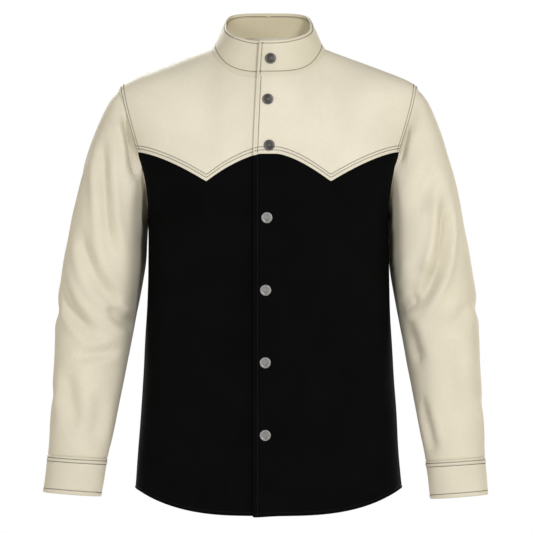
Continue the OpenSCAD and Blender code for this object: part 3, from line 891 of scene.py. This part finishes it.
def yoke_lines(across, v, first_turn, bottom):
    """x and climb of a yoke's points from its middle, where across is 0, to its armhole.

    The first half of across ends at the neck, from first_turn on, and the rest at the
    shoulder seam. bottom is x along the lower edge.
    """
    inner = across < 0.5
    half = np.where(inner, 2 * across, 2 * across - 1)
    turn = mix(first_turn, neck_side_turn(NECK_TUCK), np.where(inner, half, 1))
    neck_x, neck_c = neck_climb(turn, NECK_TUCK)
    top_x = np.where(inner, neck_x, mix(neck_x, TIP_X, half))
    climb = v * np.where(inner, neck_c, 1)
    bend = (yoke_arm_x(climb) - mix(ARM_X, TIP_X, v)) * np.where(inner, 0, half**2)
    return mix(bottom, top_x, v) + bend, climb


def yoke_dense(side_sign):
    u, v = share_grid(180, 140)
    free_x = free_edge(side_sign)
    bottom = np.where(u < 0.5, mix(free_x, YOKE_POINT_X, 2 * u),
                      mix(YOKE_POINT_X, ARM_X, 2 * u - 1))
    first = np.degrees(np.arcsin(free_x / (NECK_HALF_W + NECK_TUCK)))
    x, climb = yoke_lines(u, v, first, bottom)
    lean = LEFT_EDGE_LEAN * v * ease(1 - 4 * u) if side_sign > 0 else 0
    return yoke_at(-1, x + lean, climb)


def make_front_yoke(side_sign, looks):
    sign = mirror(side_sign)
    sides = (Side((FREE_STITCH,)), Side(ARM_STITCHES), Side(YOKE_STITCHES), Side())
    shape = shape_panel(
        yoke_dense(side_sign), sides, step=4.5, keep=(0.5,), relief=lambda g, d: (
            drape(g * sign) + under_left(g, side_sign) + rolled_edge(d[0])
            + neck_groove(g, d[3]) + yoke_ridge(d[2])))
    thick = doubled_to(shape.rows[0][:, None], FREE_TURN)
    name = side_name(side_sign)
    build_panel(f"{name}_yoke_leather", shape, side_body(side_sign), looks, "cream",
                [f"{name}_yoke_side", f"{name}_yoke_edge"], thick=thick,
                weights=front_weight(shape.grid), side_sign=side_sign)


FACING_INSET = 7.0
FACING_WIDTH = 45.0
FACING_STITCH = 3.0
FACING_THICK = 1.2


def facing_sink(grid):
    """How far a facing lies behind the front's outer face, and more so behind the yoke."""
    under_yoke = grid[..., 2] - YOKE_MID_Z + PRESSED + 44 * ease(grid[..., 0] / 60)
    return LEATHER + 0.3 + YOKE_STEP * ease(under_yoke / PRESSED)


def make_facing(side_sign, looks):
    u, v = share_grid(40, 280)
    first = free_edge(side_sign) + FACING_INSET
    x = first + FACING_WIDTH * u
    z_top = neck_seam_z(np.degrees(np.arcsin(x / NECK_HALF_W))) - 1
    dense = torso_at(-1, x, mix(hem_z(x) + HEM_TURN, z_top, v))
    sides = (Side(), Side((FACING_STITCH,)), Side(), Side())
    shape = shape_panel(dense, sides, relief=lambda g, d: (
        under_left(g, side_sign) + rolled_edge(d[0] + FACING_INSET) - facing_sink(g)))
    name = side_name(side_sign)
    build_panel(f"{name}_facing_leather", shape, side_body(side_sign), looks, "black",
                [f"{name}_facing"], thick=FACING_THICK, side_sign=side_sign,
                weights=front_weight(shape.grid))


def make_back(looks):
    sides = (Side(ARM_STITCHES), Side(ARM_STITCHES), Side((HEM_STITCH,)), Side())
    shape = shape_panel(body_dense(1, share_grid(280, 260)), sides, step=6, relief=lambda g, d: (
        drape(g) + tucked(g, 1) + hem_ridge(d[2])))
    thick = doubled_to(shape.rows[2][None], HEM_TURN)
    build_panel("back_leather", shape, "torso", looks, "black", ["back_body"], thick=thick)


def back_yoke_dense():
    u, v = share_grid(320, 140)
    t = 2 * u - 1
    a = np.abs(t)
    x, climb = yoke_lines(a, v, 180, a * ARM_X)
    return yoke_at(1, np.sign(t) * x, climb)


def make_back_yoke(looks):
    sides = (Side(ARM_STITCHES), Side(ARM_STITCHES), Side(YOKE_STITCHES), Side())
    shape = shape_panel(
        back_yoke_dense(), sides, step=5.5, keep=(0.25, 0.5, 0.75),
        relief=lambda g, d: drape(g) + neck_groove(g, d[3]) + yoke_ridge(d[2]))
    build_panel("back_yoke_leather", shape, "torso", looks, "cream", ["back_yoke"])


# ---- the collar ----

COLLAR_SIDES = (Side((4.0,)), Side((), False), Side((7.2,)), Side((3.2,)))
COLLAR_ROLL = 1.5
COLLAR_RIPPLE = 0.35


def make_collar(side_sign, looks):
    u, v = share_grid(260, 60)
    first = np.degrees(np.arcsin(-(COLLAR_OVERLAP if side_sign > 0 else UNDERLAP) / NECK_HALF_W))
    sign = mirror(side_sign)
    shape = shape_panel(
        collar_at(mix(first, 180.0, u), v), COLLAR_SIDES, step=3.6, meets_mirror=True,
        centre=lambda g: on_axis(g) + np.array([0, NECK_Y, 0]), relief=lambda g, d: (
            under_left(g, side_sign) + COLLAR_ROLL * bump(d[2] / 4)
            + COLLAR_RIPPLE * ripple(g * sign, 42, 11) * ease(d[0] / 40) * ease(d[1] / 20)))
    name = side_name(side_sign)
    replaced = [f"{name}_collar_end", f"{name}_collar_end_lining"]
    replaced += ["collar_back" if side_sign > 0 else "collar_back_lining"]
    build_panel(f"{name}_collar_half", shape, side_body(side_sign), looks, "collar", replaced,
                thick=DOUBLED, weights=front_weight(shape.grid),
                side_sign=side_sign, inside_rows=((3, COLLAR_SIDES[3].stitches[0]),))


# ---- the sleeves and cuffs ----

SLEEVE_END = 8.1
SLEEVE_ROWS = 150
AROUND = 104
SLEEVE_RIPPLE = 0.7
UNDERARM_SEAM = 0.8
CUFF_SIDES = (Side(), Side(), Side((1.7, 7.1)), Side((5.2,)))
CUFF_RISE = 0.5
CUFF_DIP = 2.8
CUFF_RIDGE = 0.6
CUFF_EDGE = 0.35
CUFF_RIPPLE = 0.4


def tube_grid(first, last, count):
    """Angles round a sleeve and places down it, between two rings."""
    around = np.arange(AROUND) * 360 / AROUND
    return np.meshgrid(around, np.linspace(first, last, count), indexing="ij")


def tube_middle(grid):
    """Points halfway across a sleeve from those of a grid."""
    return 0.5 * (grid + np.roll(grid, AROUND // 2, 0))


def sleeve_weights(s, piece):
    """Weights down a sleeve: the upper piece leaves the torso, the lower one bends."""
    return ease(s / 3.6) if piece == "upper" else ease((s - 3.9) / 2.3)


def sleeve_relief(grid, normals, a, rows, side_sign):
    """Heights of a sleeve's folds and seams. Folds fade at its sides and its two ends."""
    inner = bump((a - 180) / 34)
    outer = np.maximum(bump(a / 30), bump((360 - a) / 30))
    folds = LEFT_FOLDS if side_sign > 0 else RIGHT_FOLDS
    height = sum(fold_depth(grid, normals, fold) for fold in folds)
    height = height + SLEEVE_RIPPLE * ripple(grid * mirror(side_sign), 70, 5 + side_sign)
    height = height * (1 - 0.7 * inner) * (1 - 0.5 * outer)
    height = height * ease(rows / 0.35) * ease((8.05 - rows) / 0.5)
    height = height + SEAM_PUFF * bump((rows - 0.16) / 0.14) * (1 - inner)
    height = height - UNDERARM_SEAM * bump((a - 180) / 1.6)
    return height - CUFF_DIP * ease((rows - 7.9) / 0.08)


def make_sleeve(side_sign, looks):
    name = side_name(side_sign)
    a, rows = tube_grid(0, SLEEVE_END, SLEEVE_ROWS)
    grid = sleeve_at(rows, a, side_sign)
    room = sleeve_at(rows, 0 * a + 270, side_sign)[..., 1] - grid[..., 1]
    grid[..., 1] += hollow(rows, a, side_sign, room)
    centre = 0.5 * (sleeve_at(rows, 0 * a, side_sign) + sleeve_at(rows, 0 * a + 180, side_sign))
    normals, flip = grid_normals(grid, True, centre)
    grid = grid + normals * sleeve_relief(grid, normals, a, rows, side_sign)[..., None]
    normals, flip = grid_normals(grid, True, centre)
    split = int(round(SPLIT_RING / SLEEVE_END * (SLEEVE_ROWS - 1)))
    arm = f"{name}_sleeve"
    pieces = (("upper", slice(0, split + 1), ("torso", arm),
               [f"{name}_sleeve_head", f"{name}_upper_sleeve"]),
              ("lower", slice(split, SLEEVE_ROWS), (arm, f"{name}_forearm"),
               [f"{name}_lower_sleeve"]))
    open_side = Side((), False)
    for piece, part, bodies, replaced in pieces:
        shape = Shape(grid[:, part], normals[:, part], flip, (open_side,) * 4,
                      [np.array([FAR])] * 4, True)
        build_panel(f"{name}_sleeve_{piece}_leather", shape, bodies, looks, "sleeve", replaced,
                    side_sign=side_sign, weights=sleeve_weights(rows[:, part], piece))


def make_cuff(side_sign, looks):
    a, rows = tube_grid(CUFF_RING - 0.02, CUFF_RING + 1, 60)
    sign = mirror(side_sign)
    shape = shape_panel(
        sleeve_at(rows, a, side_sign), CUFF_SIDES, wrap=True, centre=tube_middle,
        relief=lambda g, d: (
            CUFF_RISE + CUFF_RIDGE * bump((d[2] - 4.4) / 1.9)
            + CUFF_RIPPLE * ripple(g * sign, 50, 21) + CUFF_EDGE * bump((d[3] - 2.4) / 2)))
    name = side_name(side_sign)
    build_panel(f"{name}_cuff_leather", shape, f"{name}_forearm", looks, "sleeve",
                [f"{name}_cuff", f"{name}_cuff_facing"], thick=DOUBLED, side_sign=side_sign)


# ---- materials ----


class Nodes:
    """A small help for writing a material's nodes."""

    def __init__(self, name):
        self.material = bpy.data.materials.new(name)
        self.material.use_nodes = True
        self.tree = self.material.node_tree
        self.shader = self.tree.nodes["Principled BSDF"]
        place = self.tree.nodes.new("ShaderNodeAttribute")
        place.attribute_name = "rest_place"
        self.place = place.outputs["Vector"]

    def fill(self, node, **values):
        """Sets a node's sockets, or links them where the value is another node's output."""
        for name, value in values.items():
            socket = node.inputs[name.replace("_", " ")]
            if isinstance(value, bpy.types.NodeSocket):
                self.tree.links.new(value, socket)
            else:
                socket.default_value = value
        return node

    def add(self, kind, **values):
        return self.fill(self.tree.nodes.new(kind), **values)

    def set(self, **values):
        self.fill(self.shader, **values)

    def noise(self, scale, detail=3.0, roughness=0.5):
        node = self.add("ShaderNodeTexNoise", Scale=scale, Detail=detail, Roughness=roughness,
                        Vector=self.place)
        return node.outputs["Fac"]

    def cells(self, scale):
        node = self.add("ShaderNodeTexVoronoi", Scale=scale, Vector=self.place)
        node.feature = "SMOOTH_F1"
        return node.outputs["Distance"]

    def ramp(self, value, stops):
        """A ramp between two colours, each with its place."""
        node = self.add("ShaderNodeValToRGB", Fac=value)
        for element, (position, colour) in zip(node.color_ramp.elements, stops):
            element.position = position
            element.color = (*colour, 1)
        return node.outputs["Color"]

    def scaled(self, value, low, high, span=(0.0, 1.0)):
        node = self.add("ShaderNodeMapRange", Value=value, From_Min=span[0], From_Max=span[1],
                        To_Min=low, To_Max=high)
        return node.outputs["Result"]

    def blended(self, first, second, blend_type, share):
        node = self.tree.nodes.new("ShaderNodeMix")
        node.data_type = "RGBA"
        node.blend_type = blend_type
        self.fill(node, A=first, B=second, Factor=share)
        return node.outputs["Result"]

    def multiply(self, first, second, share=1.0):
        return self.blended(first, second, "MULTIPLY", share)

    def mixed(self, first, second, share):
        return self.blended(first, second, "MIX", share)

    def bump(self, height, distance, strength, below=None):
        node = self.add("ShaderNodeBump", Height=height, Distance=distance, Strength=strength)
        if below is not None:
            self.fill(node, Normal=below)
        return node.outputs["Normal"]


def shade(colour, factor):
    return tuple(c * factor for c in colour)


def grain_leather(name, colour):
    """Smooth, lightly finished grain leather: soft mottling, fine pores and pebbles."""
    n = Nodes(name)
    mottle = n.ramp(n.noise(11, 4), [(0.35, shade(colour, 0.955)), (0.65, shade(colour, 1.03))])
    pores = n.ramp(n.cells(620), [(0.0, (1, 1, 1)), (0.75, (0.9, 0.89, 0.87))])
    n.set(Base_Color=n.multiply(mottle, pores, 0.7), Roughness=n.scaled(n.noise(38), 0.5, 0.64))
    relief = n.bump(n.noise(210, 4, 0.6), 0.0004, 0.35)
    relief = n.bump(n.cells(620), 0.00022, 0.4, relief)
    n.set(Normal=relief, IOR=1.45, Specular_IOR_Level=0.32)
    return n.material


def flesh_side(name, colour):
    """The rough inner side of leather."""
    n = Nodes(name)
    fibre = n.ramp(n.noise(900, 5, 0.7), [(0.3, shade(colour, 0.8)), (0.7, shade(colour, 1.08))])
    n.set(Base_Color=fibre, Roughness=0.93, Normal=n.bump(n.noise(1300, 4, 0.7), 0.0005, 0.6),
          Specular_IOR_Level=0.15)
    return n.material


def split_leather(name, colour):
    """Dark split leather with a short nap that lies in changing directions."""
    n = Nodes(name)
    nap = n.ramp(n.noise(16, 5, 0.65), [(0.3, shade(colour, 0.72)), (0.7, shade(colour, 1.3))])
    fibre = n.ramp(n.noise(1500, 3, 0.8), [(0.25, (0.55, 0.55, 0.55)), (0.75, (1, 1, 1))])
    n.set(Base_Color=n.multiply(nap, fibre, 0.8), Roughness=0.95)
    relief = n.bump(n.noise(320, 3, 0.6), 0.0004, 0.3)
    n.set(Normal=n.bump(n.noise(1900, 3, 0.7), 0.0004, 0.5, relief), Specular_IOR_Level=0.06)
    return n.material


def thread_material(name, colour):
    n = Nodes(name)
    ply = n.ramp(n.noise(1600, 2), [(0.35, shade(colour, 0.7)), (0.65, shade(colour, 1.25))])
    n.set(Base_Color=ply, Roughness=0.6, Normal=n.bump(n.noise(2600, 2), 0.0003, 0.5),
          Specular_IOR_Level=0.25)
    return n.material


# Between these heights, in metres, the snaps pass from their lit copy below to the painted-shade copy above.
SHADED_SNAPS_Z = (-0.23, -0.2)


def snap_metal():
    """Nickel snaps with painted highlights on the rims, and painted shade on the upper three."""
    n = Nodes("nickel_painted_shine_and_shade")
    edge = n.add("ShaderNodeNewGeometry").outputs["Pointiness"]
    # Rims are painted lighter by pointiness, a painted highlight; this lit copy is for the lower snaps.
    lit_copy = n.ramp(edge, [(0.47, (0.24, 0.237, 0.235)), (0.57, (0.4, 0.395, 0.385))])
    # A darker copy of the same colours: painted shade for the upper three snaps.
    shaded_copy = n.ramp(edge, [(0.47, (0.035, 0.032, 0.03)), (0.57, (0.2, 0.19, 0.18))])
    height = n.add("ShaderNodeSeparateXYZ", Vector=n.place)
    # How much of the painted-shade copy a snap gets, by its height.
    upper = n.scaled(height.outputs["Z"], 0, 1, SHADED_SNAPS_Z)
    spots = n.ramp(n.noise(420, 4, 0.6), [(0.3, (0.62, 0.6, 0.58)), (0.7, (1, 1, 1))])
    n.set(Base_Color=n.multiply(n.mixed(lit_copy, shaded_copy, upper), spots), Metallic=0.6,
          Normal=n.bump(n.noise(500), 0.0002, 0.3), Roughness=n.scaled(n.noise(300), 0.3, 0.48))
    return n.material


CREAM = (0.678, 0.626, 0.506)
# The sleeve and collar creams are darker copies of the one cream leather: painted shade.
SLEEVE_SHADED_CREAM = (0.645, 0.592, 0.472)
COLLAR_SHADED_CREAM = (0.63, 0.575, 0.452)
LINING_CREAM = (0.65, 0.575, 0.4)
SUEDE_CREAM = (0.52, 0.45, 0.33)
BLACK = (0.002, 0.002, 0.0021)
THREAD = (0.035, 0.034, 0.036)


def make_looks():
    suede = flesh_side("cream_flesh_side", SUEDE_CREAM)
    black = split_leather("black_split_leather", BLACK)
    black_inner = flesh_side("black_flesh_side", shade(BLACK, 2.4))
    return {
        "cream": [grain_leather("cream_grain_leather", CREAM), suede],
        # Darker copies of the cream: painted shade on the sleeves and the collar.
        "sleeve": [grain_leather("sleeve_leather_painted_shade", SLEEVE_SHADED_CREAM), suede],
        "collar": [grain_leather("collar_leather_painted_shade", COLLAR_SHADED_CREAM),
                   grain_leather("collar_lining_leather", LINING_CREAM)],
        "black": [black, black_inner],
        "thread": thread_material("dark_thread", THREAD),
        "black_thread": thread_material("black_thread", shade(BLACK, 1.6)),
        "metal": [snap_metal()],
    }


def finish_cad_nodes(looks):
    """Gives the CAD nodes that stay visible their material and rest places."""
    finishes = {"snap_caps": "metal", "snap_sockets": "metal", "snap_studs": "metal",
                "snap_eyelets": "metal", "hanger_loop": "cream"}
    for node, finish in finishes.items():
        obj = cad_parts[node]
        obj.data.materials.clear()
        obj.data.materials.append(looks[finish][0])
        places = np.zeros(len(obj.data.vertices) * 3, np.float32)
        obj.data.vertices.foreach_get("co", places)
        rest = obj.data.attributes.new("rest_place", "FLOAT_VECTOR", "POINT")
        rest.data.foreach_set("vector", places)


# ---- light, floor and camera ----

FLOOR_Z = -1.1
FLOOR_RADIUS = 2.5
WORLD_LIGHT = 0.24
WORLD_COLOUR = (1, 0.965, 0.83, 1)
WHITE = (1, 1, 1)
WARM = (1.0, 0.95, 0.84)
COOL = (0.985, 1.0, 1.03)
CAMERA_AT = (-0.0031, -15.0, -0.3387)
SEEN_WIDTH = 0.826
SENSOR = 36.0
# Soft lights: name, place, what it points at, width in metres, watts and colour.
LIGHTS = (
    ("key", (1.6, -3.0, 1.4), (0, 0, -0.3), 0.9, 76, COOL),
    ("fill", (-1.7, -3.0, 0.5), (0, 0, -0.35), 1.6, 40, COOL),
    ("side", (-2.7, -0.9, 0.1), (-0.25, 0, -0.35), 1.4, 11, WARM),
    ("side", (2.7, -0.9, 0.1), (0.25, 0, -0.35), 1.4, 16, WARM),
    ("back_key", (-1.2, 3.0, 1.4), (0, 0, -0.3), 1.4, 80, WHITE),
    ("back_fill", (1.6, 3.0, 0.1), (0, 0, -0.3), 1.8, 24, WHITE),
)


def soft_light(name, place, aim, size, power, colour):
    data = bpy.data.lights.new(name, "AREA")
    data.shape = "DISK"
    data.size = size
    data.energy = power
    data.color = colour
    light = bpy.data.objects.new(name, data)
    light.location = place
    direction = Vector(aim) - Vector(place)
    light.rotation_euler = direction.to_track_quat("-Z", "Y").to_euler()
    bpy.context.scene.collection.objects.link(light)


def make_floor():
    mesh = bpy.data.meshes.new("floor")
    angles = np.linspace(0, 2 * np.pi, 96, endpoint=False)
    points = [(FLOOR_RADIUS * np.cos(t), FLOOR_RADIUS * np.sin(t), FLOOR_Z) for t in angles]
    mesh.from_pydata(points, [], [tuple(range(len(points)))])
    n = Nodes("pale_floor")
    n.set(Base_Color=(0.86, 0.86, 0.86, 1), Roughness=0.9)
    mesh.materials.append(n.material)
    floor = bpy.data.objects.new("floor", mesh)
    bpy.context.scene.collection.objects.link(floor)


def make_world():
    """White to the camera, and a softer white as light."""
    world = bpy.data.worlds.new("studio")
    world.use_nodes = True
    tree = world.node_tree
    tree.nodes.clear()
    seen, light = (tree.nodes.new("ShaderNodeBackground") for _ in range(2))
    seen.inputs["Strength"].default_value = 1.0
    seen.inputs["Color"].default_value = (1, 1, 1, 1)
    light.inputs["Color"].default_value = WORLD_COLOUR
    light.inputs["Strength"].default_value = WORLD_LIGHT
    path = tree.nodes.new("ShaderNodeLightPath")
    chosen = tree.nodes.new("ShaderNodeMixShader")
    out = tree.nodes.new("ShaderNodeOutputWorld")
    tree.links.new(path.outputs["Is Camera Ray"], chosen.inputs["Fac"])
    tree.links.new(light.outputs["Background"], chosen.inputs[1])
    tree.links.new(seen.outputs["Background"], chosen.inputs[2])
    tree.links.new(chosen.outputs["Shader"], out.inputs["Surface"])
    bpy.context.scene.world = world


def make_camera():
    data = bpy.data.cameras.new("camera")
    data.sensor_width = SENSOR
    data.lens = SENSOR * abs(CAMERA_AT[1]) / SEEN_WIDTH
    camera = bpy.data.objects.new("camera", data)
    camera.location = CAMERA_AT
    camera.rotation_euler = (radians(90), 0, 0)
    bpy.context.scene.collection.objects.link(camera)
    bpy.context.scene.camera = camera


def make_stage():
    make_camera()
    make_world()
    make_floor()
    for light in LIGHTS:
        soft_light(*light)
    bpy.context.scene.view_settings.view_transform = "Standard"


def main():
    make_stage()
    looks = make_looks()
    for side_sign in (1, -1):
        make_front(side_sign, looks)
        make_front_yoke(side_sign, looks)
        make_facing(side_sign, looks)
        make_collar(side_sign, looks)
        make_sleeve(side_sign, looks)
        make_cuff(side_sign, looks)
    make_back(looks)
    make_back_yoke(looks)
    finish_cad_nodes(looks)


main()
